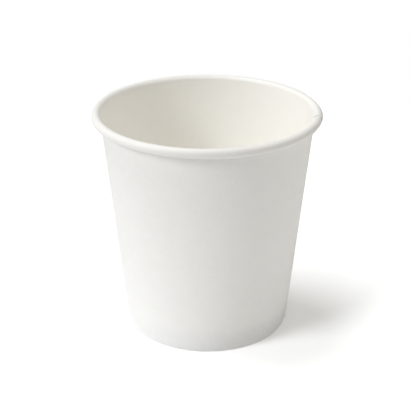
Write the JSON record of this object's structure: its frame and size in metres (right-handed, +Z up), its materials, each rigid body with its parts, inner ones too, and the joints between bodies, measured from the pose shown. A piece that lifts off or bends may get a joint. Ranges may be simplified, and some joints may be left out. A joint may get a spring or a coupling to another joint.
{
  "type": "paper coffee cup",
  "caption": "Small tapered single-wall paper cup for hot drinks, with a rolled rim, a lapped side seam and a bottom set up inside a folded foot.",
  "frame": {"origin": "on the cup's axis, in the plane that the foot stands on", "axes": "+Z up the cup's axis to the rim; +X towards the lapped side seam; +Y completes the right-handed set"},
  "size_m": [0.062, 0.062, 0.062],
  "materials": {
    "wall_board": "white board, matte and uncoated outside, with a smooth satin coating inside",
    "bottom_board": "white board, smooth satin coating above, matte below"
  },
  "bodies": {
    "root": {"side_wall": "wall_board", "bottom_disc": "bottom_board"}
  },
  "joints": []
}
